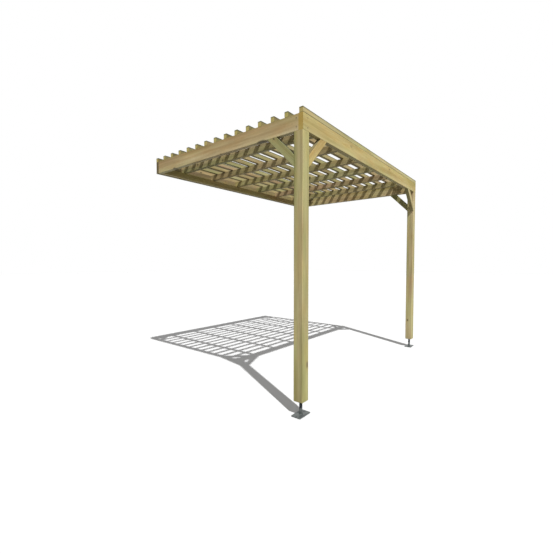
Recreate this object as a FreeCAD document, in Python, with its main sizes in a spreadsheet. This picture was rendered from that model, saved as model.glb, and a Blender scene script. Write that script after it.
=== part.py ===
import FreeCAD, Part
import os
import Sketcher

# Lean-to timber pergola: a flat slatted roof on two posts at the front and a wall plate at the back.
# +X runs along the front to the right, +Y from the front to the back, and +Z is up.
# The origin lies on the ground, under the middle of the whole object.

# Driving dimensions in millimetres, each with its meaning
SIZES = {
    "frame_width": (3000, "roof, over the outer faces of the side beams"),
    "frame_depth": (2090, "roof, from the front beam's face to the wall plate's back"),
    "roof_height": (2500, "ground to the top of the battens"),
    "post_size": (90, "side of the square posts"),
    "post_arris": (6, "rounding of the posts' long edges"),
    "post_end_bevel": (6, "bevel round the posts' lower ends"),
    "foot_gap": (117, "ground to the posts' lower ends"),
    "beam_thickness": (45, "front beam, side beams, wall plate and bearer"),
    "beam_depth": (135, "front beam, side beams and wall plate"),
    "rafter_thickness": (45, "rafters"),
    "rafter_depth": (70, "rafters"),
    "rafter_count": (6, "rafters between the side beams"),
    "end_bay": (280, "clear width between a side beam and the first rafter"),
    "batten_width": (38, "roof battens"),
    "batten_depth": (45, "roof battens"),
    "batten_count": (15, "battens from the front to the back"),
    "brace_thickness": (45, "knee and corner braces"),
    "brace_width": (70, "knee and corner braces"),
    "knee_leg": (280, "long leg of a knee brace, along the post and the beam"),
    "corner_gap": (8, "corner brace's tip to the first rafter"),
    "timber_arris": (3, "rounding of the long edges of all timber but the posts"),
    "plate_length": (155, "foot plate, along X"),
    "plate_width": (90, "foot plate, along Y"),
    "plate_thickness": (8, "foot plate"),
    "plate_corner": (6, "rounding of the foot plate's corners"),
    "anchor_hole": (12, "ground bolt holes in the foot plate, diameter"),
    "anchor_spacing": (120, "between the two ground bolt holes"),
    "rod_diameter": (27, "screw rod of the foot, over the thread"),
    "rod_engagement": (110, "length of rod inside the post as set up"),
    "rod_tip_bevel": (3, "bevel at the rod's upper end"),
    "weld_size": (5, "weld bead between rod and plate"),
    "foot_travel": (30, "height adjustment each way"),
    "thread_clearance": (0.3, "rod to threaded bush, all round"),
    "bore_clearance": (1.5, "rod to the post's bore, all round, and beyond its highest end"),
    "bush_wall": (7, "threaded bush, wall of the sleeve"),
    "flange_width": (10, "threaded bush, from the sleeve to the flange's rim"),
    "bush_length": (60, "threaded bush, with its flange"),
    "flange_thickness": (5, "threaded bush"),
    "bush_clearance": (0.2, "threaded bush to its seat in the post, all round"),
    "wall_hole": (11, "bolt holes in the wall plate, diameter"),
    "wall_hole_spacing": (900, "between neighbouring bolt holes in the wall plate"),
}

doc = FreeCAD.newDocument("lean_to_pergola")
sheet = doc.addObject("Spreadsheet::Sheet", "Sizes")
for row, (alias, (value, meaning)) in enumerate(SIZES.items(), start=1):
    sheet.set(f"A{row}", meaning)
    sheet.set(f"B{row}", str(value))
    sheet.setAlias(f"B{row}", alias)
doc.recompute()

# Levels, lengths and spacings that follow from the driving dimensions
HALF_WIDTH = "Sizes.frame_width / 2"
FRONT = "(-Sizes.frame_depth / 2)"
BACK = "(Sizes.frame_depth / 2)"
BEAM_TOP = "(Sizes.roof_height - Sizes.batten_depth)"
BEAM_UNDERSIDE = f"({BEAM_TOP} - Sizes.beam_depth)"
RAFTER_UNDERSIDE = f"({BEAM_TOP} - Sizes.rafter_depth)"
BETWEEN_BEAMS = "(Sizes.frame_depth - 2 * Sizes.beam_thickness)"
BATTEN_PITCH = "((Sizes.frame_depth - Sizes.batten_width) / (Sizes.batten_count - 1))"
RAFTER_RUN = "(Sizes.frame_width - 2 * Sizes.beam_thickness - 2 * Sizes.end_bay - Sizes.rafter_thickness)"
RAFTER_PITCH = f"({RAFTER_RUN} / (Sizes.rafter_count - 1))"
CORNER_LEG = "(Sizes.end_bay - Sizes.corner_gap)"
BEARER_DEPTH = "(Sizes.beam_depth - Sizes.rafter_depth)"
ABOVE_BEARER = f"({BEARER_DEPTH} + Sizes.rafter_depth / 2)"
ROD_RADIUS = "Sizes.rod_diameter / 2"
THREAD_RADIUS = f"({ROD_RADIUS} + Sizes.thread_clearance)"
SLEEVE_RADIUS = f"({THREAD_RADIUS} + Sizes.bush_wall)"
FLANGE_RADIUS = f"({SLEEVE_RADIUS} + Sizes.flange_width)"

ALONG_X = FreeCAD.Vector(1, 0, 0)
ALONG_Z = FreeCAD.Vector(0, 0, 1)
QUARTER_TURN = 90
# How far a cut runs past the face it opens
OVERRUN = 10
# Least dot product of two unit vectors that count as parallel
PARALLEL = 0.999

pieces = []


def number(expression):
    """Value of a size expression, in millimetres."""
    result = sheet.evalExpression(expression)
    return float(getattr(result, "Value", result))


def new_body(label):
    """Empty body of one sub-part."""
    body = doc.addObject("PartDesign::Body", label)
    body.Label = label
    pieces.append(body)
    return body


def new_sketch(body, name, plane_role, shift=("0", "0", "0")):
    """Sketch on one of the body's own planes, shifted in the sketch's own axes."""
    sketch = body.newObject("Sketcher::SketchObject", f"{body.Label}_{name}")
    plane = next(item for item in body.Origin.OriginFeatures if item.Role == plane_role)
    sketch.AttachmentSupport = [(plane, "")]
    sketch.MapMode = "FlatFace"
    for axis, expression in zip("xyz", shift):
        sketch.setExpression(f"AttachmentOffset.Base.{axis}", expression)
    return sketch


def fix_point(sketch, geometry, vertex, name, x, y):
    """Tie a sketch point to the sketch's origin by its two distances."""
    for kind, axis, expression in (("DistanceX", "across", x), ("DistanceY", "up", y)):
        constraint = Sketcher.Constraint(kind, -1, 1, geometry, vertex, number(expression))
        index = sketch.addConstraint(constraint)
        sketch.renameConstraint(index, f"{name}_{axis}")
        sketch.setExpression(f"Constraints.{name}_{axis}", expression)


def add_outline(sketch, corners):
    """Closed straight-sided outline through corners given as size expressions."""
    points = [FreeCAD.Vector(number(x), number(y), 0) for x, y in corners]
    first = sketch.GeometryCount
    for start, end in zip(points, points[1:] + points[:1]):
        sketch.addGeometry(Part.LineSegment(start, end), False)
    for index in range(len(points)):
        following = (index + 1) % len(points)
        sketch.addConstraint(Sketcher.Constraint("Coincident", first + index, 2, first + following, 1))
    for index, (x, y) in enumerate(corners):
        fix_point(sketch, first + index, 1, f"corner{first + index}", x, y)


def add_circles(sketch, centres, diameter):
    """Circles of one diameter about centres given as size expressions."""
    for x, y in centres:
        centre = FreeCAD.Vector(number(x), number(y), 0)
        index = sketch.addGeometry(Part.Circle(centre, ALONG_Z, number(diameter) / 2), False)
        fix_point(sketch, index, 3, f"centre{index}", x, y)
        size = sketch.addConstraint(Sketcher.Constraint("Diameter", index, number(diameter)))
        sketch.renameConstraint(size, f"hole{index}")
        sketch.setExpression(f"Constraints.hole{index}", diameter)


def pad(body, sketch, length, reverse=False):
    """Solid of a sketch, extruded by a length."""
    feature = body.newObject("PartDesign::Pad", f"{sketch.Name}_pad")
    feature.Profile = sketch
    feature.Reversed = reverse
    feature.setExpression("Length", length)
    doc.recompute()
    return feature


def cut(body, sketch, depth, reverse=False):
    """Remove a sketch from the body, down to a depth, and make sure that wood or steel went."""
    before = body.Shape.Volume
    feature = body.newObject("PartDesign::Pocket", f"{sketch.Name}_cut")
    feature.Profile = sketch
    feature.Reversed = reverse
    feature.setExpression("Length", depth)
    doc.recompute()
    if body.Shape.Volume >= before:
        raise RuntimeError(f"{sketch.Name} removes nothing")
    return feature


def round_edges(body, base, direction, radius):
    """Round the straight edges of a feature that run along a direction."""
    names = []
    for index, edge in enumerate(base.Shape.Edges, start=1):
        straight = isinstance(edge.Curve, Part.Line)
        if straight and abs(edge.Curve.Direction.dot(direction)) > PARALLEL:
            names.append(f"Edge{index}")
    feature = body.newObject("PartDesign::Fillet", f"{body.Label}_arris")
    feature.Base = (base, names)
    feature.setExpression("Radius", radius)
    doc.recompute()
    return feature


def place(piece, x, y, z, turn=0):
    """Set a piece at its place, turned about the vertical by some degrees."""
    piece.Placement = FreeCAD.Placement(FreeCAD.Vector(), FreeCAD.Rotation(ALONG_Z, turn))
    for axis, expression in zip("xyz", (x, y, z)):
        piece.setExpression(f"Placement.Base.{axis}", expression)


def timber(label, length, thickness, depth):
    """Planed timber along its own X, with its section in Y and Z and its long edges eased."""
    body = new_body(label)
    section = new_sketch(body, "section", "YZ_Plane")
    add_outline(section, [("0", "0"), (thickness, "0"), (thickness, depth), ("0", depth)])
    stick = pad(body, section, length)
    round_edges(body, stick, ALONG_X, "Sizes.timber_arris")
    return body


def front_beam():
    """Front beam over the full width, in front of both posts' tongues."""
    body = timber("front_beam", "Sizes.frame_width", "Sizes.beam_thickness", "Sizes.beam_depth")
    place(body, f"-{HALF_WIDTH}", FRONT, BEAM_UNDERSIDE)


def wall_plate():
    """Wall plate over the full width, with a row of bolt holes above the bearer."""
    body = timber("wall_plate", "Sizes.frame_width", "Sizes.beam_thickness", "Sizes.beam_depth")
    bolts = new_sketch(body, "bolt_holes", "XZ_Plane")
    spaces = (-1.5, -0.5, 0.5, 1.5)
    centres = [(f"{HALF_WIDTH} + {space} * Sizes.wall_hole_spacing", ABOVE_BEARER) for space in spaces]
    add_circles(bolts, centres, "Sizes.wall_hole")
    cut(body, bolts, "Sizes.beam_thickness")
    place(body, f"-{HALF_WIDTH}", f"{BACK} - Sizes.beam_thickness", BEAM_UNDERSIDE)


def wall_bearer():
    """Bearer along the wall plate's foot, between the side beams, with the rafters' ends on it."""
    length = "Sizes.frame_width - 2 * Sizes.beam_thickness"
    body = timber("wall_bearer", length, "Sizes.beam_thickness", BEARER_DEPTH)
    left_end = f"-{HALF_WIDTH} + Sizes.beam_thickness"
    place(body, left_end, f"{BACK} - 2 * Sizes.beam_thickness", BEAM_UNDERSIDE)


def side_beams():
    """Side beams between front beam and wall plate, flush with both ends of each."""
    right_faces = {"left_side_beam": f"-{HALF_WIDTH} + Sizes.beam_thickness", "right_side_beam": HALF_WIDTH}
    for label, right_face in right_faces.items():
        body = timber(label, BETWEEN_BEAMS, "Sizes.beam_thickness", "Sizes.beam_depth")
        place(body, right_face, f"{FRONT} + Sizes.beam_thickness", BEAM_UNDERSIDE, QUARTER_TURN)


def rafters():
    """Rafters between front beam and wall plate, flush with the beams' tops."""
    for index in range(int(number("Sizes.rafter_count"))):
        body = timber(f"rafter_{index + 1}", BETWEEN_BEAMS, "Sizes.rafter_thickness", "Sizes.rafter_depth")
        right_face = (
            f"-{HALF_WIDTH} + Sizes.beam_thickness + Sizes.end_bay"
            f" + Sizes.rafter_thickness + {index} * {RAFTER_PITCH}"
        )
        place(body, right_face, f"{FRONT} + Sizes.beam_thickness", RAFTER_UNDERSIDE, QUARTER_TURN)


def battens():
    """Battens across the roof, the first flush with the front face and the last with the back."""
    for index in range(int(number("Sizes.batten_count"))):
        label = f"batten_{index + 1:02d}"
        body = timber(label, "Sizes.frame_width", "Sizes.batten_width", "Sizes.batten_depth")
        place(body, f"-{HALF_WIDTH}", f"{FRONT} + {index} * {BATTEN_PITCH}", BEAM_TOP)


def brace_outline(leg):
    """Corners of a brace at 45 degrees, mitred to meet two faces that cross at the sketch's origin."""
    short_leg = f"({leg} - Sizes.brace_width * sqrt(2))"
    return [(short_leg, "0"), (leg, "0"), ("0", f"-{leg}"), ("0", f"-{short_leg}")]


def knee_brace(label, x, y, turn):
    """Upright brace under a beam, its own X along the beam and its Z down the post."""
    body = new_body(label)
    side = new_sketch(body, "side", "XZ_Plane")
    add_outline(side, brace_outline("Sizes.knee_leg"))
    stick = pad(body, side, "Sizes.brace_thickness", True)
    round_edges(body, stick, FreeCAD.Vector(1, 0, 1).normalize(), "Sizes.timber_arris")
    place(body, x, y, BEAM_UNDERSIDE, turn)


def knee_braces():
    """Two braces at each post, one under the front beam and one under the side beam."""
    behind_post = f"{FRONT} + Sizes.post_size"
    beside_post = f"({HALF_WIDTH} - Sizes.post_size)"
    knee_brace("left_front_knee_brace", f"-{beside_post}", FRONT, 0)
    knee_brace("right_front_knee_brace", beside_post, f"{FRONT} + Sizes.brace_thickness", 2 * QUARTER_TURN)
    knee_brace("left_side_knee_brace", f"-{HALF_WIDTH} + Sizes.brace_thickness", behind_post, QUARTER_TURN)
    knee_brace("right_side_knee_brace", HALF_WIDTH, behind_post, QUARTER_TURN)


def corner_brace(label, x, y, turn):
    """Flat brace across a corner of the roof frame, level with the rafters' undersides."""
    body = new_body(label)
    plan = new_sketch(body, "plan", "XY_Plane")
    add_outline(plan, brace_outline(CORNER_LEG))
    stick = pad(body, plan, "Sizes.brace_thickness")
    round_edges(body, stick, FreeCAD.Vector(1, 1, 0).normalize(), "Sizes.timber_arris")
    place(body, x, y, RAFTER_UNDERSIDE, turn)


def corner_braces():
    """One flat brace in each inner corner of the roof frame."""
    inner_x = f"({HALF_WIDTH} - Sizes.beam_thickness)"
    inner_front = f"{FRONT} + Sizes.beam_thickness"
    inner_back = f"{BACK} - Sizes.beam_thickness"
    corner_brace("back_left_corner_brace", f"-{inner_x}", inner_back, 0)
    corner_brace("back_right_corner_brace", inner_x, inner_back, -QUARTER_TURN)
    corner_brace("front_right_corner_brace", inner_x, inner_front, 2 * QUARTER_TURN)
    corner_brace("front_left_corner_brace", f"-{inner_x}", inner_front, QUARTER_TURN)


def post(label, on_left):
    """Square post whose head is rebated for both beams, leaving a tongue in the inner corner."""
    width = "Sizes.post_size"
    seat = "Sizes.beam_thickness"
    height = f"({BEAM_TOP} - Sizes.foot_gap)"
    body = new_body(label)
    section = new_sketch(body, "section", "XY_Plane")
    add_outline(section, [("0", "0"), (width, "0"), (width, width), ("0", width)])
    stick = pad(body, section, height)
    rounded = round_edges(body, stick, ALONG_Z, "Sizes.post_arris")
    lowest = min(range(len(rounded.Shape.Faces)), key=lambda face: rounded.Shape.Faces[face].CenterOfMass.z)
    bevel = body.newObject("PartDesign::Chamfer", f"{label}_end_bevel")
    bevel.Base = (rounded, [f"Face{lowest + 1}"])
    bevel.setExpression("Size", "Sizes.post_end_bevel")
    doc.recompute()

    def from_outside(distance):
        """Own X of a distance from the post's outer face, for a left or a right post."""
        return distance if on_left else f"({width} - {distance})"

    rebate = new_sketch(body, "rebate", "XY_Plane", ("0", "0", height))
    far = f"({width} + {OVERRUN})"
    corners = [(-OVERRUN, -OVERRUN), (far, -OVERRUN), (far, seat)]
    corners += [(seat, seat), (seat, far), (-OVERRUN, far)]
    add_outline(rebate, [(from_outside(f"({x})"), str(y)) for x, y in corners])
    cut(body, rebate, "Sizes.beam_depth")

    bore = new_sketch(body, "bore", "XZ_Plane", (f"{width} / 2", "0", f"-{width} / 2"))
    rod_hole = f"({ROD_RADIUS} + Sizes.bore_clearance)"
    sleeve_hole = f"({SLEEVE_RADIUS} + Sizes.bush_clearance)"
    flange_hole = f"({FLANGE_RADIUS} + Sizes.bush_clearance)"
    bore_end = "(Sizes.rod_engagement + Sizes.foot_travel + Sizes.bore_clearance)"
    steps = [("0", "0"), (flange_hole, "0"), (flange_hole, "Sizes.flange_thickness")]
    steps += [(sleeve_hole, "Sizes.flange_thickness"), (sleeve_hole, "Sizes.bush_length")]
    steps += [(rod_hole, "Sizes.bush_length"), (rod_hole, bore_end), ("0", bore_end)]
    add_outline(bore, steps)
    solid = body.Shape.Volume
    groove = body.newObject("PartDesign::Groove", f"{label}_rod_bore")
    groove.Profile = bore
    groove.ReferenceAxis = (bore, ["V_Axis"])
    doc.recompute()
    if body.Shape.Volume >= solid:
        raise RuntimeError(f"{label} has no bore")
    place(body, f"-{HALF_WIDTH}" if on_left else f"{HALF_WIDTH} - {width}", FRONT, "Sizes.foot_gap")


def turned(label, corners):
    """Piece turned about its own Z from half an outline."""
    body = new_body(label)
    half = new_sketch(body, "half", "XZ_Plane")
    add_outline(half, corners)
    feature = body.newObject("PartDesign::Revolution", f"{label}_turning")
    feature.Profile = half
    feature.ReferenceAxis = (half, ["V_Axis"])
    doc.recompute()
    return body


def foot(side, on_left):
    """Height-adjustable foot: plate on the ground, rod welded to it and a bush let into the post."""
    reach = f"({HALF_WIDTH} - Sizes.post_size / 2)"
    x = f"-{reach}" if on_left else reach
    y = f"{FRONT} + Sizes.post_size / 2"

    plate = new_body(f"{side}_foot_plate")
    plan = new_sketch(plate, "plan", "XY_Plane")
    half_length = "Sizes.plate_length / 2"
    half_width = "Sizes.plate_width / 2"
    signs = (("-", "-"), ("", "-"), ("", ""), ("-", ""))
    add_outline(plan, [(f"{across}{half_length}", f"{up}{half_width}") for across, up in signs])
    add_circles(plan, [(f"{sign}Sizes.anchor_spacing / 2", "0") for sign in ("-", "")], "Sizes.anchor_hole")
    slab = pad(plate, plan, "Sizes.plate_thickness")
    round_edges(plate, slab, ALONG_Z, "Sizes.plate_corner")
    place(plate, x, y, "0")

    length = "(Sizes.foot_gap - Sizes.plate_thickness + Sizes.rod_engagement)"
    profile = [("0", "0"), (f"{ROD_RADIUS} + Sizes.weld_size", "0"), (ROD_RADIUS, "Sizes.weld_size")]
    profile += [(ROD_RADIUS, f"{length} - Sizes.rod_tip_bevel")]
    profile += [(f"{ROD_RADIUS} - Sizes.rod_tip_bevel", length), ("0", length)]
    place(turned(f"{side}_foot_rod", profile), x, y, "Sizes.plate_thickness")

    profile = [(THREAD_RADIUS, "0"), (FLANGE_RADIUS, "0"), (FLANGE_RADIUS, "Sizes.flange_thickness")]
    profile += [(SLEEVE_RADIUS, "Sizes.flange_thickness"), (SLEEVE_RADIUS, "Sizes.bush_length")]
    profile += [(THREAD_RADIUS, "Sizes.bush_length")]
    place(turned(f"{side}_foot_bush", profile), x, y, "Sizes.foot_gap")


def check_document():
    """Stop if any feature failed or any sub-part has no sound solid."""
    for item in doc.Objects:
        if "Invalid" in item.State or "Error" in item.State:
            raise RuntimeError(f"{item.Label} failed: {item.State}")
    for piece in pieces:
        shape = piece.Shape
        if shape.isNull() or not shape.isValid() or not shape.Solids:
            raise RuntimeError(f"{piece.Label} is not a sound solid")


post("left_post", True)
post("right_post", False)
front_beam()
wall_plate()
wall_bearer()
side_beams()
rafters()
battens()
knee_braces()
corner_braces()
foot("left", True)
foot("right", False)
doc.recompute()
check_document()

os.makedirs("parts", exist_ok=True)
for piece in pieces:
    piece.Shape.exportStep(f"parts/{piece.Label}.step")
print(f"{len(pieces)} sub-parts written")
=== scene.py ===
"""Looks of a lean-to timber pergola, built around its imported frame."""

import logging
import math
import random
from dataclasses import dataclass, field
from enum import Enum

import bpy
from mathutils import Euler, Matrix, Vector


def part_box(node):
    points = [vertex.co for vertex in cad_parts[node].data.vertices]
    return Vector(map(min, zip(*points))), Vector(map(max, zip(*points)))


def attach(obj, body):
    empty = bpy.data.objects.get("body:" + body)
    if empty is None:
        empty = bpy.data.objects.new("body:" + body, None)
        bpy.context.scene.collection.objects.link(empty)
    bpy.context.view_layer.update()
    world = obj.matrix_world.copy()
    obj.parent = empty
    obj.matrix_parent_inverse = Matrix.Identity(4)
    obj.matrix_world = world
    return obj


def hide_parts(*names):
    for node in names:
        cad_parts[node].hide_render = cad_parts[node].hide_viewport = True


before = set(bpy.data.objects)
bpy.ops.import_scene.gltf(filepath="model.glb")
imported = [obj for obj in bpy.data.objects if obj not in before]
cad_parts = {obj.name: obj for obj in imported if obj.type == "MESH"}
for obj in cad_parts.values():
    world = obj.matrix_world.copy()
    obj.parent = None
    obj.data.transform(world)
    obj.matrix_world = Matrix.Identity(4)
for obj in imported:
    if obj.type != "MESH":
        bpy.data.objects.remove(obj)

LOG = logging.getLogger("pergola")
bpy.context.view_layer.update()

Colour = tuple[float, float, float]
Triple = tuple[float, float, float]
Pair = tuple[float, float]
Socket = bpy.types.NodeSocket
Spot = tuple[Vector, Vector]
# What goes into a shader node, by the name or the place of the input.
Inputs = dict[str | int, object]

# Points closer together than this, in metres, are merged into one.
MERGE_DISTANCE = 1e-6
# A face looks up when its normal rises more than this.
UPWARD = 0.9
# Most values of a soft random pattern lie in this range.
NOISE_RANGE = (0.3, 0.7)
# A wave texture of scale 1 runs through this many radians in a metre.
WAVE_RADIANS = 20

# The curve between the levels of a screen and the light they stand for.
SCREEN_WHITE = 255
SCREEN_KNEE = 0.04045
SCREEN_SLOPE = 12.92
SCREEN_OFFSET = 0.055
SCREEN_POWER = 2.4


def screen_colour(*levels: int) -> Colour:
    """Turn a colour as seen on a screen into scene light.

    Args:
        levels: Red, green and blue levels, 0 to 255.

    Returns:
        The three linear levels, 0 to 1.
    """
    light = []
    for level in levels:
        share = level / SCREEN_WHITE
        if share <= SCREEN_KNEE:
            light.append(share / SCREEN_SLOPE)
        else:
            light.append(((share + SCREEN_OFFSET) / (1 + SCREEN_OFFSET)) ** SCREEN_POWER)
    return tuple(light)


class Grain(Enum):
    """Direction in which a timber's fibres run, and the way that one of its long faces looks."""

    ALONG_X = ((1, 0, 0), (0, 0, 1))
    ALONG_Y = ((0, 1, 0), (0, 0, 1))
    UPRIGHT = ((0, 0, 1), (1, 0, 0))
    RISING_RIGHT = ((1, 0, 1), (0, 1, 0))
    RISING_LEFT = ((-1, 0, 1), (0, 1, 0))
    RISING_BACK = ((0, 1, 1), (1, 0, 0))
    FLAT_RIGHT = ((1, 1, 0), (0, 0, 1))
    FLAT_LEFT = ((1, -1, 0), (0, 0, 1))

    @property
    def fibres(self) -> Vector:
        """Direction of the fibres, one metre long."""
        return Vector(self.value[0]).normalized()

    @property
    def alignment(self) -> Matrix:
        """Turn that lays the fibres along X and the long face along Y."""
        face = Vector(self.value[1])
        return Matrix((self.fibres, face, self.fibres.cross(face)))


class Tone(Enum):
    """Shade of a timber: its dark streaks, its body, its light streaks and its end grain."""

    STRAW = ((174, 156, 99), (191, 174, 117), (201, 185, 128), (184, 152, 60))
    OLIVE = ((155, 150, 102), (182, 172, 124), (201, 190, 141), (190, 170, 96))
    FERN = ((166, 155, 112), (190, 177, 133), (208, 194, 151), (190, 170, 96))
    ROSE = ((175, 153, 110), (196, 176, 131), (210, 193, 149), (186, 156, 98))
    HONEY = ((179, 153, 93), (200, 179, 121), (213, 197, 138), (196, 164, 84))
    ASH = ((145, 133, 94), (169, 156, 113), (186, 172, 129), (204, 191, 110))
    SAGE = ((142, 135, 95), (165, 158, 114), (182, 174, 130), (204, 191, 110))
    CLAY = ((147, 132, 96), (171, 155, 115), (188, 171, 131), (204, 191, 110))
    FAWN = ((113, 102, 71), (131, 119, 85), (146, 134, 98), (90, 77, 46))
    MOSS = ((140, 136, 95), (164, 158, 115), (179, 172, 130), (170, 160, 100))

    @property
    def colours(self) -> list[Colour]:
        """The four shades as scene light."""
        return [screen_colour(*shade) for shade in self.value]


class Edge(Enum):
    """Level edge of a timber, with the way from it into the timber."""

    TOP = -1
    FOOT = 1


@dataclass(frozen=True)
class Pattern:
    """Soft random pattern: how often it changes in a metre along each axis, and its finer layers."""

    per_metre: Triple
    layers: float = 2.0
    roughness: float = 0.5


@dataclass(frozen=True)
class Tint:
    """Colour that is multiplied in, by a share that follows a pattern's value."""

    colour: Colour
    value: Pair
    share: Pair


class NodeBoard:
    """Shader nodes of one material, with a method for each step of a pattern."""

    # Places of the colours among the sockets of a node that mixes them.
    FIRST_COLOUR = 6
    SECOND_COLOUR = 7
    MIXED_COLOUR = 2

    def __init__(self, name: str) -> None:
        """Start a material with nothing but its output.

        Args:
            name: Name of the material.
        """
        self.material = bpy.data.materials.new(name)
        self.material.use_nodes = True
        self.tree = self.material.node_tree
        self.tree.nodes.clear()
        self.output = self.tree.nodes.new("ShaderNodeOutputMaterial")

    def add(self, kind: str, inputs: Inputs | None = None, **settings: object) -> bpy.types.Node:
        """Add a node, set its own properties and feed its inputs.

        Args:
            kind: Type name of the node.
            inputs: Sockets or plain values for its inputs.
            settings: Properties of the node.

        Returns:
            The new node.
        """
        node = self.tree.nodes.new(kind)
        for key, value in settings.items():
            setattr(node, key, value)
        for key, value in (inputs or {}).items():
            self.feed(node.inputs[key], value)
        return node

    def feed(self, target: Socket, value: object) -> None:
        """Link a socket to a target, or set the target's own value.

        Args:
            target: Input socket.
            value: Output socket, or a plain value.
        """
        if isinstance(value, bpy.types.NodeSocket):
            self.tree.links.new(value, target)
        elif isinstance(value, tuple) and len(value) == 3 and target.type == "RGBA":
            target.default_value = (*value, 1.0)
        else:
            target.default_value = value

    def own(self, name: str) -> Socket:
        """Coordinate in the piece's own axes: Object for the place, Normal for the facing."""
        return self.add("ShaderNodeTexCoord").outputs[name]

    def math(self, operation: str, first: object, second: object = 0.0) -> Socket:
        """Combine two numbers.

        Args:
            operation: Name of the sum.
            first: First number or socket.
            second: Second number or socket.

        Returns:
            The result's socket.
        """
        return self.add("ShaderNodeMath", {0: first, 1: second}, operation=operation).outputs[0]

    def weighted(self, *parts: tuple[Socket, float]) -> Socket:
        """Add up numbers, each times its weight.

        Args:
            parts: Sockets of the numbers, with their weights.

        Returns:
            The sum's socket.
        """
        products = [self.math("MULTIPLY", value, weight) for value, weight in parts]
        total = products[0]
        for product in products[1:]:
            total = self.math("ADD", total, product)
        return total

    def remap(self, value: Socket, old: Pair, new: Pair) -> Socket:
        """Carry a number from one range to another, held at the ends.

        Args:
            value: Socket of the number.
            old: Range that comes in.
            new: Range that goes out.

        Returns:
            The result's socket.
        """
        names = ("Value", "From Min", "From Max", "To Min", "To Max")
        inputs = dict(zip(names, (value, *old, *new)))
        return self.add("ShaderNodeMapRange", inputs, clamp=True).outputs["Result"]

    def mix(self, share: object, first: object, second: object, blend: str = "MIX") -> Socket:
        """Mix two colours.

        Args:
            share: Share of the second colour.
            first: First colour or socket.
            second: Second colour or socket.
            blend: Way of mixing.

        Returns:
            The mixed colour's socket.
        """
        inputs = {0: share, self.FIRST_COLOUR: first, self.SECOND_COLOUR: second}
        node = self.add("ShaderNodeMix", inputs, data_type="RGBA", blend_type=blend)
        return node.outputs[self.MIXED_COLOUR]

    def tint(self, colour: object, value: Socket, tint: Tint) -> Socket:
        """Multiply a tint into a colour where a pattern says so.

        Args:
            colour: Colour or socket.
            value: Socket of the pattern.
            tint: The tint, and how it follows the pattern.

        Returns:
            The tinted colour's socket.
        """
        share = self.remap(value, tint.value, tint.share)
        return self.mix(share, colour, tint.colour, "MULTIPLY")

    def split(self, vector: Socket) -> list[Socket]:
        """Sockets of a vector's three parts."""
        return list(self.add("ShaderNodeSeparateXYZ", {0: vector}).outputs)

    def length(self, vector: Socket) -> Socket:
        """Socket of a vector's length."""
        return self.add("ShaderNodeVectorMath", {0: vector}, operation="LENGTH").outputs["Value"]

    def stretch(self, vector: Socket, scale: Triple) -> Socket:
        """Scale a place along its three axes.

        Args:
            vector: Socket of the place.
            scale: The three factors.

        Returns:
            The scaled place's socket.
        """
        return self.add("ShaderNodeVectorMath", {0: vector, 1: scale}, operation="MULTIPLY").outputs[0]

    def noise(self, vector: Socket, pattern: Pattern) -> Socket:
        """Soft random pattern.

        Args:
            vector: Socket of the place.
            pattern: How fine and how rough the pattern is.

        Returns:
            The pattern's socket.
        """
        inputs = {
            "Vector": self.stretch(vector, pattern.per_metre),
            "Scale": 1.0,
            "Detail": pattern.layers,
            "Roughness": pattern.roughness,
        }
        return self.add("ShaderNodeTexNoise", inputs).outputs[0]

    def ramp(self, value: Socket, places: tuple[float, ...], colours: tuple[Colour, ...]) -> Socket:
        """Colour that follows a number.

        Args:
            value: Socket of the number.
            places: Numbers at which the colours are reached.
            colours: The colours.

        Returns:
            The colour's socket.
        """
        node = self.add("ShaderNodeValToRGB", {0: value})
        elements = node.color_ramp.elements
        while len(elements) < len(places):
            elements.new(1.0)
        for element, place, colour in zip(elements, places, colours):
            element.position = place
            element.color = (*colour, 1.0)
        return node.outputs[0]

    def bump(self, height: Socket, strength: float, distance: float) -> Socket:
        """Relief from a height.

        Args:
            height: Socket of the height, 0 to 1.
            strength: Strength of the relief, 0 to 1.
            distance: Depth of the relief in metres.

        Returns:
            The bent normal's socket.
        """
        inputs = {"Strength": strength, "Distance": distance, "Height": height}
        return self.add("ShaderNodeBump", inputs).outputs[0]

    def surface(self, inputs: Inputs) -> bpy.types.Material:
        """Finish the material with one surface shader.

        Args:
            inputs: Sockets or plain values for the shader's inputs.

        Returns:
            The finished material.
        """
        shader = self.add("ShaderNodeBsdfPrincipled", inputs)
        self.feed(self.output.inputs["Surface"], shader.outputs[0])
        return self.material


@dataclass(frozen=True)
class KnotOrShade:
    """Dark spot at a known place on a timber, its half sizes along the three axes, and how dark it is;
    most are knots, two are painted contact shade where braces meet a beam.
    """

    place: Triple
    reach: Triple
    depth: float


@dataclass(frozen=True)
class Band:
    """Tint along a level edge of a timber: full as far as one depth, gone at another."""

    edge: Edge
    full: float
    gone: float
    tint: Colour


@dataclass(frozen=True)
class Cut:
    """How one timber was cut out of its log, how it has aged since, and the shade painted on it."""

    grain: Grain
    tone: Tone
    box: tuple[Vector, Vector]
    seed: int
    pith: Pair | None
    knots_and_shades: tuple[KnotOrShade, ...]
    bands: tuple[Band, ...]
    grey_and_shade_top: float
    dark_ends: float


@dataclass(frozen=True)
class Figure:
    """Place, facing and patterns of one timber, as sockets in its log's axes."""

    place: Socket
    facing: Socket
    # Knots, with painted contact shade at known places.
    knot: Socket
    swirl: Socket
    ring: Socket
    broad: Socket
    streak: Socket
    fibre: Socket
    cloud: Socket


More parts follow.
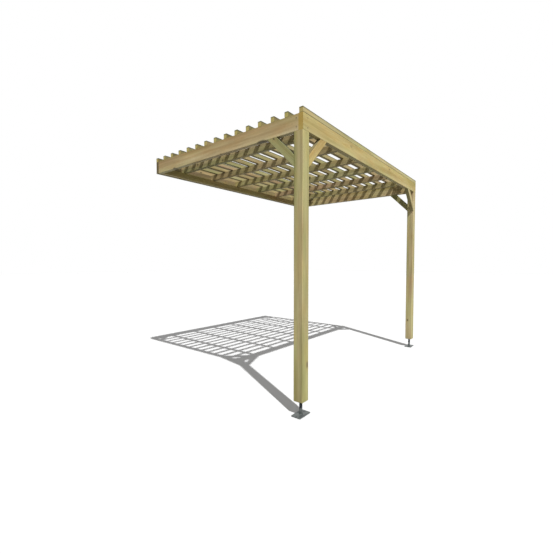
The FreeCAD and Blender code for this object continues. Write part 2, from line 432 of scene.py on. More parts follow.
@dataclass(frozen=True)
class TreatedPine:
    """Planed, pressure-treated pine, cut out of a log whose rings show on faces and ends."""

    # The log: where its middle may lie beside the timber, and its rings.
    pith_offset: Pair = (0.03, 0.09)
    pith_tilt: float = math.radians(0.6)
    pith_slide: float = 40.0
    across: Triple = (0.0, 1.0, 1.0)
    ring_spacing: float = 0.0042
    ring_stretch: Triple = (0.05, 1.0, 1.0)
    ring_wobble: float = 2.2
    wobble_layers: float = 2.0
    wobble_scale: float = 0.35

    # The heartwood round the log's middle.
    heart_radius: float = 0.048
    heart_waver: float = 0.014
    heart_blur: float = 0.006
    heart_tint: Colour = (1.06, 0.98, 1.09)

    # Knots: cells per metre that may hold one, and the reach of its parts within a cell.
    knot_cells: Triple = (4.6, 8.0, 8.0)
    knot_share: float = 0.35
    knot_depth: float = 0.82
    knot_reach: Pair = (0.055, 0.10)
    swirl_reach: Pair = (0.05, 0.36)
    swirl_phase: float = 9.0
    halo_share: float = 0.35
    # Colour of the knots, also of the painted contact shade at known places.
    knot_and_shade_colour: Colour = screen_colour(74, 66, 48)
    knot_halo: Colour = screen_colour(168, 139, 84)

    # Knots and painted contact shade at known places: the reach of their parts in half sizes.
    known_spot_reach: Pair = (0.6, 1.1)
    known_swirl_reach: Pair = (0.8, 2.6)

    # Patterns along and across the fibres, and the colours that follow them.
    broad: Pattern = Pattern((1.2, 11.0, 11.0))
    fine: Pattern = Pattern((1.6, 34.0, 34.0), layers=3.0, roughness=0.55)
    bloom: Pattern = Pattern((5.0, 16.0, 16.0))
    fibre: Pattern = Pattern((16.0, 520.0, 520.0))
    cloud: Pattern = Pattern((1.6, 5.0, 5.0))
    streak_weights: Pair = (0.55, 0.45)
    streak_stops: Triple = (0.38, 0.5, 0.62)
    green: Tint = Tint((0.90, 1.0, 0.82), value=(0.42, 0.62), share=(0.0, 0.7))
    warm: Tint = Tint((1.04, 0.975, 0.91), value=(0.45, 0.65), share=(0.0, 1.0))
    late_wood: Tint = Tint((0.62, 0.50, 0.36), value=(0.55, 1.0), share=(0.0, 0.28))
    dark_fibre: Tint = Tint((0.74, 0.68, 0.58), value=(0.35, 0.65), share=(0.35, 0.0))
    # Painted highlight along the arrises, where the faces meet.
    arris_highlight: Tint = Tint((1.06, 1.05, 1.03), value=(0.80, 0.985), share=(1.0, 0.0))

    # End grain.
    end_facing: Pair = (0.80, 0.95)
    end_share: Pair = (0.0, 0.9)
    end_body_share: Pair = (0.0, 0.5)
    end_rings: Tint = Tint((0.62, 0.50, 0.36), value=(0.3, 1.0), share=(0.0, 0.55))

    # Age and painted shade: what looks up is greyed, both as weathering where the rain stands and as
    # painted shade; darker near the ends.
    grey_and_shade_facing: Pair = (0.3, 0.75)
    grey_and_shade_tint: Colour = (0.40, 0.45, 0.55)
    dark_end_tint: Colour = (0.62, 0.62, 0.55)
    fray: float = 0.002

    # Relief by rings, fibres and knots, and gloss.
    relief_weights: Triple = (0.45, 0.55, 0.35)
    relief_strength: float = 0.45
    relief_depth: float = 0.0007
    ring_gloss: float = 0.3
    gloss_range: Pair = (0.4, 1.0)
    roughness: Pair = (0.78, 0.58)
    specular: float = 0.28

    def local_place(self, board: NodeBoard, cut: Cut) -> tuple[Socket, Socket]:
        """Place and facing in the log's own axes, with X along the fibres.

        Args:
            board: Material's nodes.
            cut: How the timber lies in its log.

        Returns:
            Sockets of the place and of the surface's facing.
        """
        chance = random.Random(cut.seed)
        align = cut.grain.alignment
        lean = [chance.uniform(-1, 1) * self.pith_tilt for _ in range(2)]
        turn = Euler((0, *lean)).to_matrix() @ align
        around = chance.uniform(0, 2 * math.pi)
        reach = chance.uniform(*self.pith_offset)
        across = cut.pith or (reach * math.cos(around), reach * math.sin(around))
        pith = Vector((chance.uniform(-self.pith_slide, self.pith_slide), *across))
        shift = -pith - turn @ ((cut.box[0] + cut.box[1]) / 2)
        inputs = {"Vector": board.own("Object"), "Rotation": turn.to_euler(), "Location": shift}
        place = board.add("ShaderNodeMapping", inputs, vector_type="POINT")
        inputs = {"Vector": board.own("Normal"), "Rotation": align.to_euler()}
        facing = board.add("ShaderNodeMapping", inputs, vector_type="VECTOR")
        return place.outputs[0], facing.outputs[0]

    def knot_and_shade_masks(
        self, board: NodeBoard, place: Socket, knots_and_shades: tuple[KnotOrShade, ...]
    ) -> tuple[Socket, Socket]:
        """Where the knots and the painted contact shade are, and how far round them the rings bend.

        Args:
            board: Material's nodes.
            place: Socket of the place in the log's axes.
            knots_and_shades: Knots and painted contact shade at known places.

        Returns:
            Sockets of the knots with the painted contact shade, and of the bent grain round them.
        """
        inputs = {"Vector": board.stretch(place, self.knot_cells), "Scale": 1.0}
        cells = board.add("ShaderNodeTexVoronoi", inputs, feature="F1")
        chance, _, _ = board.split(cells.outputs["Color"])
        grown = board.math("LESS_THAN", chance, self.knot_share)
        gap = cells.outputs["Distance"]
        dark = board.remap(gap, self.knot_reach, (self.knot_depth, 0.0))
        bent = board.remap(gap, self.swirl_reach, (1.0, 0.0))
        mask = board.math("MULTIPLY", grown, dark)
        swirl = board.math("MULTIPLY", grown, bent)
        # Known spots: knots, and painted contact shade where braces meet a beam.
        for knot in knots_and_shades:
            inputs = {0: board.own("Object"), 1: knot.place}
            from_knot = board.add("ShaderNodeVectorMath", inputs, operation="SUBTRACT")
            span = tuple(1 / half for half in knot.reach)
            away = board.length(board.stretch(from_knot.outputs[0], span))
            fade = (knot.depth, 0.0)
            mask = board.math("MAXIMUM", mask, board.remap(away, self.known_spot_reach, fade))
            swirl = board.math("MAXIMUM", swirl, board.remap(away, self.known_swirl_reach, fade))
        return mask, swirl

    def rings(self, board: NodeBoard, place: Socket, swirl: Socket) -> Socket:
        """Year rings round the log's middle.

        Args:
            board: Material's nodes.
            place: Socket of the place in the log's axes.
            swirl: Socket of the bent grain round the knots.

        Returns:
            Socket of the ring's ripeness, 0 for early wood to 1 for late wood.
        """
        inputs = {
            "Vector": board.stretch(place, self.ring_stretch),
            "Scale": 2 * math.pi / (WAVE_RADIANS * self.ring_spacing),
            "Distortion": self.ring_wobble,
            "Detail": self.wobble_layers,
            "Detail Scale": self.wobble_scale,
            "Phase Offset": board.math("MULTIPLY", swirl, self.swirl_phase),
        }
        shape = {"wave_type": "RINGS", "rings_direction": "X", "wave_profile": "SAW"}
        return board.add("ShaderNodeTexWave", inputs, **shape).outputs["Fac"]

    def figure(self, board: NodeBoard, cut: Cut) -> Figure:
        """Lay out the patterns of one timber.

        Args:
            board: Material's nodes.
            cut: How the timber was cut.

        Returns:
            The patterns.
        """
        place, facing = self.local_place(board, cut)
        knot, swirl = self.knot_and_shade_masks(board, place, cut.knots_and_shades)
        broad = board.noise(place, self.broad)
        fine = board.noise(place, self.fine)
        return Figure(
            place=place,
            facing=facing,
            knot=knot,
            swirl=swirl,
            ring=self.rings(board, place, swirl),
            broad=broad,
            streak=board.weighted(*zip((broad, fine), self.streak_weights)),
            fibre=board.noise(place, self.fibre),
            cloud=board.noise(place, self.cloud),
        )

    def face_colour(self, board: NodeBoard, cut: Cut, figure: Figure) -> Socket:
        """Colour of the long faces when fresh.

        Args:
            board: Material's nodes.
            cut: How the timber was cut.
            figure: Its patterns.

        Returns:
            The colour's socket.
        """
        dark, body, light, _ = cut.tone.colours
        colour = board.ramp(figure.streak, self.streak_stops, (dark, body, light))
        colour = board.tint(colour, figure.cloud, self.green)
        colour = board.tint(colour, board.noise(figure.place, self.bloom), self.warm)
        from_pith = board.length(board.stretch(figure.place, self.across))
        waver = board.remap(figure.broad, NOISE_RANGE, (-self.heart_waver, self.heart_waver))
        limits = (self.heart_radius - self.heart_blur, self.heart_radius + self.heart_blur)
        heartwood = Tint(self.heart_tint, value=limits, share=(1.0, 0.0))
        colour = board.tint(colour, board.math("ADD", from_pith, waver), heartwood)
        colour = board.tint(colour, figure.ring, self.late_wood)
        colour = board.tint(colour, figure.fibre, self.dark_fibre)
        halo = board.math("MULTIPLY", figure.swirl, self.halo_share)
        colour = board.mix(halo, colour, self.knot_halo)
        # Knot colour, which also paints contact shade at known places.
        return board.mix(figure.knot, colour, self.knot_and_shade_colour)

    def darken_ends(self, board: NodeBoard, cut: Cut, colour: Socket) -> Socket:
        """Darken a timber near its ends.

        Args:
            board: Material's nodes.
            cut: The timber and the length of its darkened ends.
            colour: Socket of the dry colour.

        Returns:
            The colour's socket.
        """
        fibres = cut.grain.fibres
        inputs = {0: board.own("Object"), 1: fibres}
        along = board.add("ShaderNodeVectorMath", inputs, operation="DOT_PRODUCT")
        middle = (cut.box[0] + cut.box[1]).dot(fibres) / 2
        half = (cut.box[1] - cut.box[0]).dot(fibres) / 2
        away = board.math("ABSOLUTE", board.math("SUBTRACT", along.outputs["Value"], middle))
        limits = (half - cut.dark_ends, half - cut.dark_ends / 2)
        return board.tint(colour, away, Tint(self.dark_end_tint, value=limits, share=(0.0, 1.0)))

    def end_grain(self, board: NodeBoard, cut: Cut, figure: Figure, colour: Socket) -> Socket:
        """Show end grain on what faces along the fibres, and paint a highlight along the arrises.

        Args:
            board: Material's nodes.
            cut: How the timber was cut.
            figure: Its patterns.
            colour: Socket of the long faces' colour.

        Returns:
            The colour's socket.
        """
        _, body, _, end = cut.tone.colours
        end = board.mix(board.remap(figure.fibre, NOISE_RANGE, self.end_body_share), end, body)
        end = board.tint(end, figure.ring, self.end_rings)
        sizes = [board.math("ABSOLUTE", part) for part in board.split(figure.facing)]
        colour = board.mix(board.remap(sizes[0], self.end_facing, self.end_share), colour, end)
        squarest = board.math("MAXIMUM", sizes[0], board.math("MAXIMUM", sizes[1], sizes[2]))
        return board.tint(colour, squarest, self.arris_highlight)

    def aged_and_shaded(self, board: NodeBoard, cut: Cut, figure: Figure, colour: Socket) -> Socket:
        """Grey what looks up, where the rain stands and as painted shade, and tint the bands along a
        timber's edges, some of them painted shade.

        Args:
            board: Material's nodes.
            cut: The timber and its bands.
            figure: Its patterns, of which one frays the bands.
            colour: Socket of the fresh colour.

        Returns:
            The colour's socket.
        """
        # Upward faces greyed: weathering grey, and painted shade where the roof shades the knee braces.
        grey = Tint(self.grey_and_shade_tint, value=self.grey_and_shade_facing, share=(0.0, cut.grey_and_shade_top))
        _, _, upward = board.split(board.own("Normal"))
        colour = board.tint(colour, upward, grey)
        _, _, height = board.split(board.own("Object"))
        waver = board.remap(figure.cloud, NOISE_RANGE, (-self.fray, self.fray))
        frayed = board.math("ADD", height, waver)
        # Bands along the edges: painted shade at top edges and joints, paler tints towards the feet.
        for band in cut.bands:
            edge = cut.box[1].z if band.edge is Edge.TOP else cut.box[0].z
            limits = (edge + band.edge.value * band.gone, edge + band.edge.value * band.full)
            colour = board.tint(colour, frayed, Tint(band.tint, value=limits, share=(0.0, 1.0)))
        return colour

    def make(self, name: str, cut: Cut) -> bpy.types.Material:
        """Make the finish of one timber.

        Args:
            name: Name of the timber.
            cut: How it was cut out of its log.

        Returns:
            The finished material.
        """
        board = NodeBoard(f"{name}_pine")
        figure = self.figure(board, cut)
        colour = self.face_colour(board, cut, figure)
        if cut.dark_ends:
            colour = self.darken_ends(board, cut, colour)
        colour = self.end_grain(board, cut, figure, colour)
        colour = self.aged_and_shaded(board, cut, figure, colour)
        relief = board.weighted(*zip((figure.ring, figure.fibre, figure.knot), self.relief_weights))
        gloss = board.math("ADD", figure.streak, board.math("MULTIPLY", figure.ring, self.ring_gloss))
        return board.surface(
            {
                "Base Color": colour,
                "Roughness": board.remap(gloss, self.gloss_range, self.roughness),
                "Normal": board.bump(relief, self.relief_strength, self.relief_depth),
                "Specular IOR Level": self.specular,
            }
        )


@dataclass(frozen=True)
class GalvanisedSteel:
    """Dull zinc-coated steel with the crystals and stains of the coating."""

    dark: Colour = screen_colour(66, 70, 70)
    light: Colour = screen_colour(103, 108, 106)
    crystal_size: float = 0.006
    crystal_weight: float = 0.45
    stain: Pattern = Pattern((45.0, 45.0, 45.0), layers=4.0, roughness=0.6)
    stain_weight: float = 0.75
    scratch: Pattern = Pattern((40.0, 900.0, 160.0))
    shade_stops: Pair = (0.3, 0.85)
    gloss_range: Pair = (0.25, 0.9)
    roughness: Pair = (0.62, 0.4)
    metal: float = 0.55
    relief_strength: float = 0.25
    relief_depth: float = 0.0003

    def make(self, name: str) -> bpy.types.Material:
        """Make the finish.

        Args:
            name: Name of the piece or group of pieces.

        Returns:
            The finished material.
        """
        board = NodeBoard(f"{name}_zinc")
        place = board.own("Object")
        inputs = {"Vector": place, "Scale": 1 / self.crystal_size}
        crystals = board.add("ShaderNodeTexVoronoi", inputs, feature="F1")
        grey = board.add("ShaderNodeRGBToBW", {0: crystals.outputs["Color"]})
        stain = board.noise(place, self.stain)
        blend = board.weighted((grey.outputs[0], self.crystal_weight), (stain, self.stain_weight))
        relief = board.math("ADD", blend, board.noise(place, self.scratch))
        return board.surface(
            {
                "Base Color": board.ramp(blend, self.shade_stops, (self.dark, self.light)),
                "Metallic": self.metal,
                "Roughness": board.remap(blend, self.gloss_range, self.roughness),
                "Normal": board.bump(relief, self.relief_strength, self.relief_depth),
            }
        )


def nodes_named(start: str) -> list[str]:
    """Nodes of the frame whose names start in one way, in order."""
    return sorted(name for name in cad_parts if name.startswith(start))


def select_nothing() -> None:
    """Deselect every object."""
    bpy.ops.object.select_all(action="DESELECT")


def choose(*pieces: bpy.types.Object) -> None:
    """Select some pieces and nothing else, with the first one active.

    Args:
        pieces: Pieces to select.
    """
    select_nothing()
    for piece in pieces:
        piece.select_set(True)
    bpy.context.view_layer.objects.active = pieces[0]


def clear_selection(piece: bpy.types.Object, mode: str) -> None:
    """Deselect all of a piece's mesh.

    Args:
        piece: Piece to work on, which becomes the active one.
        mode: Kind of element to select next: VERT, EDGE or FACE.
    """
    choose(piece)
    bpy.ops.object.mode_set(mode="EDIT")
    bpy.ops.mesh.select_mode(type=mode)
    bpy.ops.mesh.select_all(action="DESELECT")
    bpy.ops.object.mode_set(mode="OBJECT")


def open_cylinder(sides: int, radius: float, depth: float, middle: Triple) -> bpy.types.Object:
    """Add an upright cylinder, open for editing with its top selected.

    Args:
        sides: Number of its sides.
        radius: Its radius.
        depth: Its height.
        middle: Place of its middle.

    Returns:
        The cylinder.
    """
    select_nothing()
    bpy.ops.mesh.primitive_cylinder_add(vertices=sides, radius=radius, depth=depth, location=middle)
    piece = bpy.context.object
    bpy.ops.object.transform_apply(location=True, rotation=True, scale=True)
    clear_selection(piece, "FACE")
    for face in piece.data.polygons:
        face.select = face.normal.z > UPWARD
    bpy.ops.object.mode_set(mode="EDIT")
    return piece


def dress(piece: bpy.types.Object, material: bpy.types.Material) -> None:
    """Give a piece one finish all over.

    Args:
        piece: Piece or node to dress.
        material: Its finish.
    """
    if not piece.material_slots:
        piece.data.materials.append(material)
    for slot in piece.material_slots:
        slot.material = material


@dataclass
class Timbers:
    """All timbers of one sub-assembly, which share a direction and a range of shades."""

    nodes: list[str]
    grain: Grain
    tones: tuple[Tone, ...]
    first_seed: int
    finish: TreatedPine = field(default_factory=TreatedPine)
    piths: dict[str, Pair] = field(default_factory=dict)
    knots_and_shades: dict[str, tuple[KnotOrShade, ...]] = field(default_factory=dict)
    bands: tuple[Band, ...] = ()
    grey_and_shade_top: float = 0.35
    dark_ends: float = 0.0

    def dress(self) -> None:
        """Give each timber its own cut of the wood."""
        for index, node in enumerate(self.nodes):
            cut = Cut(
                grain=self.grain,
                tone=self.tones[index % len(self.tones)],
                box=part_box(node),
                seed=self.first_seed + index,
                pith=self.piths.get(node),
                knots_and_shades=self.knots_and_shades.get(node, ()),
                bands=self.bands,
                grey_and_shade_top=self.grey_and_shade_top,
                dark_ends=self.dark_ends,
            )
            dress(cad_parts[node], self.finish.make(node, cut))
            LOG.info("dressed %s", node)


@dataclass
class ScrewHeads:
    """Countersunk screw heads, sunk almost flush into the timber."""

    radius: float = 0.0058
    depth: float = 0.004
    proud: float = 0.0005
    rim: float = 0.0022
    socket_depth: float = 0.0022
    sides: int = 12

    def model(self) -> bpy.types.Object:
        """Model one head at the origin, facing up.

        Returns:
            The head.
        """
        middle = (0, 0, self.proud - self.depth / 2)
        head = open_cylinder(self.sides, self.radius, self.depth, middle)
        bpy.ops.mesh.inset(thickness=self.rim)
        bpy.ops.mesh.extrude_region_move(TRANSFORM_OT_translate={"value": (0, 0, -self.socket_depth)})
        bpy.ops.object.mode_set(mode="OBJECT")
        return head

    def drive(self, name: str, spots: list[Spot], material: bpy.types.Material) -> None:
        """Set a group of heads into the timber.

        Args:
            name: Name of the group.
            spots: Points on the timber, each with the way that its face looks.
            material: Finish of the heads.
        """
        head = self.model()
        copies = []
        for point, facing in spots:
            copy = bpy.data.objects.new(name, head.data.copy())
            bpy.context.scene.collection.objects.link(copy)
            turn = Vector((0, 0, 1)).rotation_difference(facing).to_matrix().to_4x4()
            copy.data.transform(Matrix.Translation(point) @ turn)
            copies.append(copy)
        choose(*copies)
        bpy.ops.object.join()
        group = bpy.context.object
        group.name = name
        group.data.name = name
        bpy.data.objects.remove(head)
        dress(group, material)
        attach(group, "frame")
        LOG.info("drove %s: %d heads", name, len(spots))


@dataclass
class Fixings:
    """Screws that hold the timbers together."""

    heads: ScrewHeads = field(default_factory=ScrewHeads)
    # Darker than the plates: partly the heads' own colour, partly painted shade of the sunk holes round
    # them.
    finish: GalvanisedSteel = GalvanisedSteel(
        dark=screen_colour(70, 62, 50), light=screen_colour(120, 108, 88), crystal_size=0.002
    )
    tongue_inset: float = 0.0675
    front_rise: float = 0.040
    side_inset: float = 0.065
    side_rise: float = 0.035

    def frame_spots(self) -> list[Spot]:
        """Screws through the front beam and the side beams.

        Returns:
            Points and facings.
        """
        low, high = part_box("front_beam")
        middle = (low.z + high.z) / 2
        spots = []
        for side in (-1, 1):
            edge = low.x if side < 0 else high.x
            for rise in (-self.front_rise, self.front_rise):
                point = Vector((edge - side * self.tongue_inset, low.y, middle + rise))
                spots.append((point, Vector((0, -1, 0))))
            for rise in (-self.side_rise, self.side_rise):
                point = Vector((edge, low.y + self.side_inset, middle + rise))
                spots.append((point, Vector((side, 0, 0))))
        return spots

    def batten_spots(self) -> list[Spot]:
        """One screw where each batten crosses a rafter or a side beam.

        Returns:
            Points and facings.
        """
        carriers = ["left_side_beam", *nodes_named("rafter_"), "right_side_beam"]
        spots = []
        for batten in nodes_named("batten_"):
            low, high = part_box(batten)
            for carrier in carriers:
                near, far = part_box(carrier)
                point = Vector(((near.x + far.x) / 2, (low.y + high.y) / 2, high.z))
                spots.append((point, Vector((0, 0, 1))))
        return spots

    def build(self) -> None:
        """Set all screws."""
        material = self.finish.make("screws")
        self.heads.drive("frame_screws", self.frame_spots(), material)
        self.heads.drive("batten_screws", self.batten_spots(), material)


@dataclass
class Foot:
    """Steel foot under one post: plate, welded rod with its thread, and bush."""

    side: str
    pitch: float = 0.003
    thread_depth: float = 0.0018
    flank_share: float = 0.38
    plain_length: float = 0.045
    overlap_turns: int = 2
    steps: int = 28
    bevel_steps: int = 2
    weld_size: float = 0.005
    bead_radius: float = 0.0042
    bead_sides: int = 8
    bead_ripples: int = 22
    ripple_depth: float = 0.0007
    smooth_angle: float = math.radians(40)
    plate_finish: GalvanisedSteel = GalvanisedSteel()
    rod_finish: GalvanisedSteel = GalvanisedSteel(
        dark=screen_colour(44, 48, 53), light=screen_colour(84, 89, 95), crystal_size=0.004
    )

    def tooth_outline(self, radius: float) -> bpy.types.Object:
        """Draw the outline of one turn of the thread, beside the axis.

        Args:
            radius: Radius over the thread.

        Returns:
            The outline, an open line.
        """
        flank = self.flank_share * self.pitch
        flat = self.pitch / 2 - flank
        select_nothing()
        bpy.ops.mesh.primitive_plane_add(size=self.pitch)
        outline = bpy.context.object
        bpy.ops.object.mode_set(mode="EDIT")
        bpy.ops.mesh.select_mode(type="VERT")
        bpy.ops.mesh.merge(type="CENTER")
        bpy.ops.transform.translate(value=(radius - self.thread_depth, 0, 0))
        for out, up in ((self.thread_depth, flank), (0, flat), (-self.thread_depth, flank), (0, flat)):
            bpy.ops.mesh.extrude_vertices_move(TRANSFORM_OT_translate={"value": (out, 0, up)})
        bpy.ops.object.mode_set(mode="OBJECT")
        return outline

    def thread(self, radius: float, room: float) -> bpy.types.Object:
        """Model the threaded part of the rod, standing at the origin.

        Args:
            radius: Radius over the thread.
            room: Height that it may fill with whole turns.

        Returns:
            The thread, closed at both ends.
        """
        thread = self.tooth_outline(radius)
        screw = thread.modifiers.new("thread", "SCREW")
        screw.axis = "Z"
        screw.angle = 2 * math.pi
        screw.screw_offset = self.pitch
        screw.iterations = int(room / self.pitch) - 1
        screw.steps = self.steps
        screw.render_steps = self.steps
        screw.use_merge_vertices = True
        bpy.ops.object.modifier_apply(modifier=screw.name)
        clear_selection(thread, "EDGE")
        bpy.ops.object.mode_set(mode="EDIT")
        bpy.ops.mesh.select_all(action="SELECT")
        bpy.ops.mesh.remove_doubles(threshold=MERGE_DISTANCE)
        bpy.ops.mesh.fill_holes(sides=0)
        bpy.ops.mesh.normals_make_consistent(inside=False)
        bpy.ops.object.mode_set(mode="OBJECT")
        return thread

    def plain_shank(self, centre: Vector, bottom: float, top: float, radius: float) -> bpy.types.Object:
        """Model the smooth lower end of the rod.

        Args:
            centre: Middle of the foot.
            bottom: Height of its lower end.
            top: Height of its upper end.
            radius: Radius of the rod.

        Returns:
            The shank.
        """
        middle = (centre.x, centre.y, (top + bottom) / 2)
        shank = open_cylinder(self.steps, radius, top - bottom, middle)
        bpy.ops.mesh.bevel(offset=self.pitch / 2, segments=self.bevel_steps, affect="EDGES")
        bpy.ops.object.mode_set(mode="OBJECT")
        return shank

    def threaded_rod(self) -> bpy.types.Object:
        """Model and dress the rod with its thread, in the place of the plain one.

        Returns:
            The rod.
        """
        low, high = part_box(f"{self.side}_foot_rod")
        centre = (low + high) / 2
        radius = (high.x - low.x) / 2 - self.weld_size
        start = low.z + self.plain_length
        rod = self.thread(radius, high.z - start)
        rod.data.transform(Matrix.Translation((centre.x, centre.y, start)))
        shank = self.plain_shank(centre, low.z, start + self.overlap_turns * self.pitch, radius)
        dress(rod, self.rod_finish.make(f"{self.side}_thread"))
        dress(shank, self.plate_finish.make(f"{self.side}_shank"))
        choose(rod, shank)
        bpy.ops.object.join()
        rod.name = f"{self.side}_threaded_rod"
        rod.data.name = rod.name
        return rod

    def weld_bead(self) -> bpy.types.Object:
        """Model the rippled weld where the rod meets the plate.

        Returns:
            The bead.
        """
        low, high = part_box(f"{self.side}_foot_rod")
        plate_low, plate_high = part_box(f"{self.side}_foot_plate")
        centre = (plate_low + plate_high) / 2
        reach = (high.x - low.x) / 2 - self.bead_radius
        select_nothing()
        bpy.ops.mesh.primitive_torus_add(
            major_radius=reach,
            minor_radius=self.bead_radius,
            major_segments=2 * self.bead_ripples,
            minor_segments=self.bead_sides,
            location=(centre.x, centre.y, plate_high.z),
        )
        bead = bpy.context.object
        bead.name = f"{self.side}_weld_bead"
        bpy.ops.object.transform_apply(location=True, rotation=True, scale=True)
        clear_selection(bead, "VERT")
        step = math.pi / self.bead_ripples
        for vertex in bead.data.vertices:
            turn = math.atan2(vertex.co.y - centre.y, vertex.co.x - centre.x)
            vertex.select = round(turn / step) % 2 == 0
        bpy.ops.object.mode_set(mode="EDIT")
        bpy.ops.transform.shrink_fatten(value=-self.ripple_depth)
        bpy.ops.object.mode_set(mode="OBJECT")
        return bead

    def build(self) -> None:
        """Model and dress the foot."""
        body = f"{self.side}_foot"
        rod = self.threaded_rod()
        bead = self.weld_bead()
        dress(bead, self.plate_finish.make(bead.name))
        for piece in (rod, bead):
            choose(piece)
            bpy.ops.object.shade_smooth_by_angle(angle=self.smooth_angle)
            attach(piece, body)
            LOG.info("modelled %s", piece.name)
        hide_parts(f"{self.side}_foot_rod")
        for node in (f"{self.side}_foot_plate", f"{self.side}_foot_bush"):
            dress(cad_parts[node], self.plate_finish.make(node))
            LOG.info("dressed %s", node)


@dataclass(frozen=True)
class Lamp:
    """Far lamp: its strength, the angle that it fills as seen from the object, and its light's way."""

    name: str
    strength: float
    width: float
    path: Triple

    def build(self) -> None:
        """Set the lamp."""
        lamp = bpy.data.lights.new(self.name, "SUN")
        lamp.energy = self.strength
        lamp.angle = self.width
        holder = bpy.data.objects.new(self.name, lamp)
        holder.rotation_euler = Vector(self.path).to_track_quat("-Z", "Y").to_euler()
        bpy.context.scene.collection.objects.link(holder)


@dataclass
class Studio:
    """Floor, light and camera."""

    floor_size: float = 80.0
    floor_grey: float = 0.15
    floor_seen: float = 0.70
    sky: float = 0.30
    sky_seen: float = 1.0
    lamps: tuple[Lamp, ...] = (
        Lamp("sun", strength=4.33, width=math.radians(0.8), path=(0.3241, 0.6349, -1.0)),
        Lamp("fill", strength=0.45, width=math.radians(50), path=(0.95, 0.2, -0.2)),
        Lamp("back", strength=0.7, width=math.radians(100), path=(-0.8, -0.75, -0.3)),
    )
    lens: float = 21.33
    sensor: float = 36.0
    eye: Triple = (-3.6775, -2.5224, 1.2601)
    tilt: float = math.radians(87.73)
    heading: float = math.radians(-51.28)

    def seen(self, tree: bpy.types.NodeTree) -> Socket:
        """Number that is 1 for what the camera sees, straight on or by reflection.

        Args:
            tree: Node tree of a material or of the world.

        Returns:
            The number's socket.
        """
        path = tree.nodes.new("ShaderNodeLightPath")
        total = path.outputs["Is Camera Ray"]
        for name in ("Is Glossy Ray", "Is Transmission Ray"):
            node = tree.nodes.new("ShaderNodeMath")
            node.operation = "MAXIMUM"
            tree.links.new(total, node.inputs[0])
            tree.links.new(path.outputs[name], node.inputs[1])
            total = node.outputs[0]
        return total

    def floor(self) -> None:
        """Lay a pale floor that keeps the object's shadow and throws little light up."""
        select_nothing()
        bpy.ops.mesh.primitive_plane_add(size=self.floor_size)
        plane = bpy.context.object
        plane.name = "floor"
        board = NodeBoard("pale_floor")
        choice = board.add("ShaderNodeMixShader", {0: self.seen(board.tree)})
        for target, grey in zip(choice.inputs[1:], (self.floor_grey, self.floor_seen)):
            soft = board.add("ShaderNodeBsdfDiffuse", {"Color": (grey, grey, grey)})
            board.feed(target, soft.outputs[0])
        board.feed(board.output.inputs["Surface"], choice.outputs[0])
        plane.data.materials.append(board.material)

    def light(self) -> None:
        """Set the sun, soft lamps from the left and from behind, and soft light all round."""
        for lamp in self.lamps:
            lamp.build()
        world = bpy.data.worlds.new("soft_white")
        world.use_nodes = True
        tree = world.node_tree
        background = tree.nodes["Background"]
        background.inputs["Color"].default_value = (1.0, 1.0, 1.0, 1.0)
        strength = tree.nodes.new("ShaderNodeMapRange")
        strength.inputs["To Min"].default_value = self.sky
        strength.inputs["To Max"].default_value = self.sky_seen
        tree.links.new(self.seen(tree), strength.inputs["Value"])
        tree.links.new(strength.outputs["Result"], background.inputs["Strength"])
        bpy.context.scene.world = world

    def camera(self) -> None:
        """Set the camera at the photograph's angle."""
        lens = bpy.data.cameras.new("camera")
        lens.lens = self.lens
        lens.sensor_width = self.sensor
        eye = bpy.data.objects.new("camera", lens)
        eye.location = self.eye
        eye.rotation_euler = (self.tilt, 0, self.heading)
        bpy.context.scene.collection.objects.link(eye)
        bpy.context.scene.camera = eye
        bpy.context.scene.view_settings.view_transform = "Standard"

    def build(self) -> None:
        """Set up the whole studio."""
        self.floor()
        self.light()
        self.camera()


# Timber with few knots, and a log's middle that lies outside the timber.
CLEAR_PINE = TreatedPine(knot_share=0.10)
OUTER_PITH = (-0.085, -0.018)


def upright_timbers() -> list[Timbers]:
    """Posts, each with its own log and the one knot that shows.

    Returns:
        The groups, in the order of dressing.
    """
    near_knot = KnotOrShade(place=(-1.431, -1.045, 0.424), reach=(0.009, 0.008, 0.032), depth=0.92)
    far_knot = KnotOrShade(place=(1.410, -0.984, 0.404), reach=(0.009, 0.012, 0.016), depth=0.8)
    posts = (
        ("left_post", Tone.OLIVE, 1410, OUTER_PITH, near_knot),
        ("right_post", Tone.FERN, 511, (-0.080, -0.022), far_knot),
    )
    return [
        Timbers(
            [node],
            Grain.UPRIGHT,
            (tone,),
            first_seed=seed,
            finish=CLEAR_PINE,
            piths={node: pith},
            knots_and_shades={node: (knot,)},
        )
        for node, tone, seed, pith, knot in posts
    ]


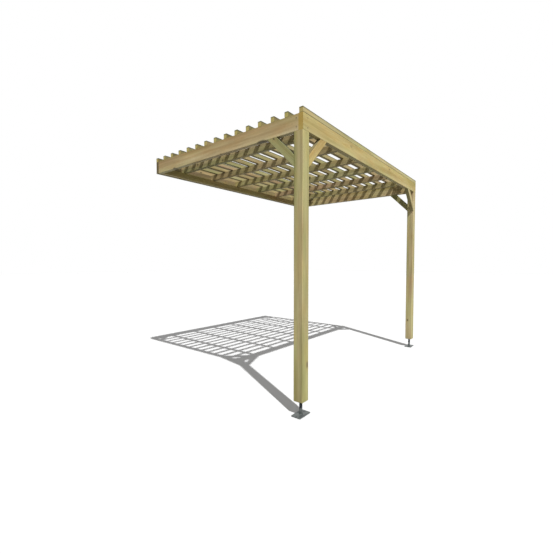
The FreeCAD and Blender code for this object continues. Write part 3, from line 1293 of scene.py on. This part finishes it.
def roof_timbers() -> list[Timbers]:
    """Beams, wall timbers, rafters and battens.

    Returns:
        The groups, in the order of dressing.
    """
    battens = nodes_named("batten_")
    front_knot = KnotOrShade(place=(-0.656, -1.045, 2.413), reach=(0.030, 0.010, 0.014), depth=0.3)
    # Not knots: painted contact shade on the left side beam's lower edge, where the knee brace and the
    # corner brace meet it.
    knee_contact_shade = KnotOrShade(place=(-1.478, -0.605, 2.317), reach=(0.060, 0.062, 0.020), depth=0.85)
    corner_contact_shade = KnotOrShade(place=(-1.478, 0.689, 2.318), reach=(0.060, 0.034, 0.020), depth=0.75)
    roof_tones = (Tone.SAGE, Tone.CLAY, Tone.ASH)
    # Grey of weathered tops; in the batten bands below it paints shade.
    grey = TreatedPine.grey_and_shade_tint
    front_beam_foot = Band(Edge.FOOT, full=0.020, gone=0.060, tint=(1.03, 1.09, 1.24))
    # Darker towards the top with a grey rim at the top edge: painted shade under the batten ends; paler
    # and bluer towards the foot.
    side_beam_bands = (
        Band(Edge.TOP, full=0.012, gone=0.060, tint=(0.73, 0.76, 0.61)),
        Band(Edge.TOP, full=0.003, gone=0.006, tint=(0.75, 0.75, 0.75)),
        Band(Edge.FOOT, full=0.012, gone=0.055, tint=(1.06, 1.11, 1.20)),
    )
    # Grey rim along the front batten's top edge and a thin grey line at its foot: painted shade along
    # the top edge and in the joint with the beam.
    front_batten_bands = (
        Band(Edge.TOP, full=0.008, gone=0.014, tint=grey),
        Band(Edge.FOOT, full=0.000, gone=0.004, tint=grey),
    )
    # Grey rim along the other battens' top edges: painted shade.
    batten_top = Band(Edge.TOP, full=0.008, gone=0.012, tint=grey)
    return [
        Timbers(
            ["front_beam"],
            Grain.ALONG_X,
            (Tone.STRAW,),
            first_seed=20,
            knots_and_shades={"front_beam": (front_knot,)},
            bands=(front_beam_foot,),
        ),
        Timbers(["wall_plate", "wall_bearer"], Grain.ALONG_X, (Tone.FAWN, Tone.STRAW), first_seed=22),
        Timbers(
            ["left_side_beam", "right_side_beam"],
            Grain.ALONG_Y,
            (Tone.ROSE,),
            first_seed=30,
            knots_and_shades={"left_side_beam": (knee_contact_shade, corner_contact_shade)},
            bands=side_beam_bands,
        ),
        Timbers(nodes_named("rafter_"), Grain.ALONG_Y, roof_tones, first_seed=40),
        Timbers(
            battens[:1],
            Grain.ALONG_X,
            (Tone.OLIVE,),
            first_seed=59,
            piths={battens[0]: OUTER_PITH},
            bands=front_batten_bands,
        ),
        Timbers(
            battens[1:],
            Grain.ALONG_X,
            roof_tones,
            first_seed=60,
            bands=(batten_top,),
            dark_ends=0.08,
        ),
    ]


def brace_timbers() -> list[Timbers]:
    """Knee braces under the beams, and flat braces in the roof's corners.

    Returns:
        The groups, in the order of dressing.
    """
    knees = (
        (["left_front_knee_brace"], Grain.RISING_RIGHT, Tone.HONEY, 90),
        (["right_front_knee_brace"], Grain.RISING_LEFT, Tone.OLIVE, 91),
        (["left_side_knee_brace", "right_side_knee_brace"], Grain.RISING_BACK, Tone.MOSS, 492),
    )
    flat_left = ["back_right_corner_brace", "front_left_corner_brace"]
    corners = (
        (["back_left_corner_brace"], Grain.FLAT_RIGHT, Tone.FAWN, 94, TreatedPine()),
        (["front_right_corner_brace"], Grain.FLAT_RIGHT, Tone.ASH, 95, CLEAR_PINE),
        (flat_left, Grain.FLAT_LEFT, Tone.FAWN, 96, TreatedPine()),
    )
    groups = []
    for nodes, grain, tone, seed in knees:
        # Knee braces' upper faces fully greyed: painted shade of the roof on top of the weathering
        # grey.
        groups.append(Timbers(nodes, grain, (tone,), first_seed=seed, grey_and_shade_top=1.0))
    for nodes, grain, tone, seed, finish in corners:
        groups.append(Timbers(nodes, grain, (tone,), first_seed=seed, finish=finish))
    return groups


def main() -> None:
    """Build the looks in order."""
    logging.basicConfig(level=logging.INFO, format="%(message)s")
    for group in upright_timbers() + roof_timbers() + brace_timbers():
        group.dress()
    for side in ("left", "right"):
        Foot(side).build()
    Fixings().build()
    Studio().build()


if __name__ == "__main__":
    main()
